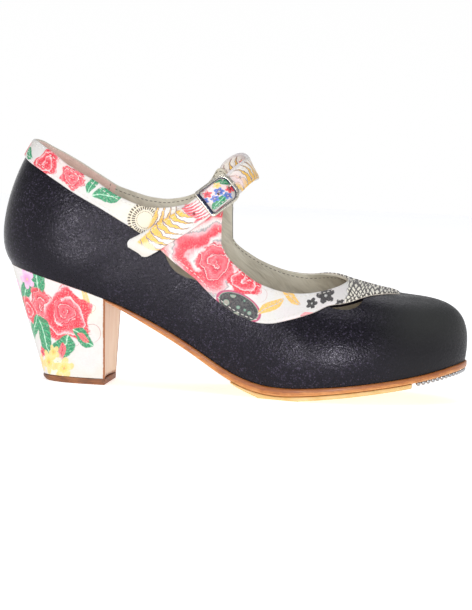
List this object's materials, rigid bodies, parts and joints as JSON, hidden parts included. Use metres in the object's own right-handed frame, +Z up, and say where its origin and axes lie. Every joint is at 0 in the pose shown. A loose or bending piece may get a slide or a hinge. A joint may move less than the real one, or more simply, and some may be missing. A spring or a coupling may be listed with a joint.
{
  "type": "heeled flamenco dance shoe",
  "caption": "Low-cut heeled dance shoe with a buckled instep strap, half-moon cut-outs, wrapped wooden heel and nailed toe.",
  "frame": {"origin": "floor under the middle of the heel's tread", "axes": "+X to the toe, +Y to the inner side of the right foot, +Z up"},
  "size_m": [0.245, 0.0827, 0.126],
  "materials": {
    "upper": "black grained leather with a faint pearl",
    "collar_overlay": "off-white leather with a floral print",
    "insole": "plain khaki leather",
    "outsole": "stained sole leather, burnished edge",
    "half_sole": "honey rubber",
    "heel_block": "bare pale wood",
    "heel_cover": "off-white leather with a floral print",
    "heel_top_lift": "dark brown stacked leather",
    "strap": "off-white leather with a floral print",
    "buckle": "polished pale metal",
    "toe_nails": "silver nail heads"
  },
  "bodies": {
    "root": {"buckle_frame": "buckle", "buckle_prong": "buckle", "collar_overlay": "collar_overlay", "half_sole": "half_sole", "heel_block": "heel_block", "heel_cover": "heel_cover", "heel_top_lift": "heel_top_lift", "insole": "insole", "outsole": "outsole", "strap": "strap", "toe_nail_01": "toe_nails", "toe_nail_02": "toe_nails", "toe_nail_03": "toe_nails", "toe_nail_04": "toe_nails", "toe_nail_05": "toe_nails", "toe_nail_06": "toe_nails", "toe_nail_07": "toe_nails", "toe_nail_08": "toe_nails", "toe_nail_09": "toe_nails", "toe_nail_10": "toe_nails", "toe_nail_11": "toe_nails", "toe_nail_12": "toe_nails", "toe_nail_13": "toe_nails", "toe_nail_14": "toe_nails", "toe_nail_15": "toe_nails", "toe_nail_16": "toe_nails", "toe_nail_17": "toe_nails", "toe_nail_18": "toe_nails", "toe_nail_19": "toe_nails", "toe_nail_20": "toe_nails", "toe_nail_21": "toe_nails", "toe_nail_22": "toe_nails", "toe_nail_23": "toe_nails", "toe_nail_24": "toe_nails", "toe_nail_25": "toe_nails", "toe_nail_26": "toe_nails", "toe_nail_27": "toe_nails", "upper": "upper"}
  },
  "joints": []
}
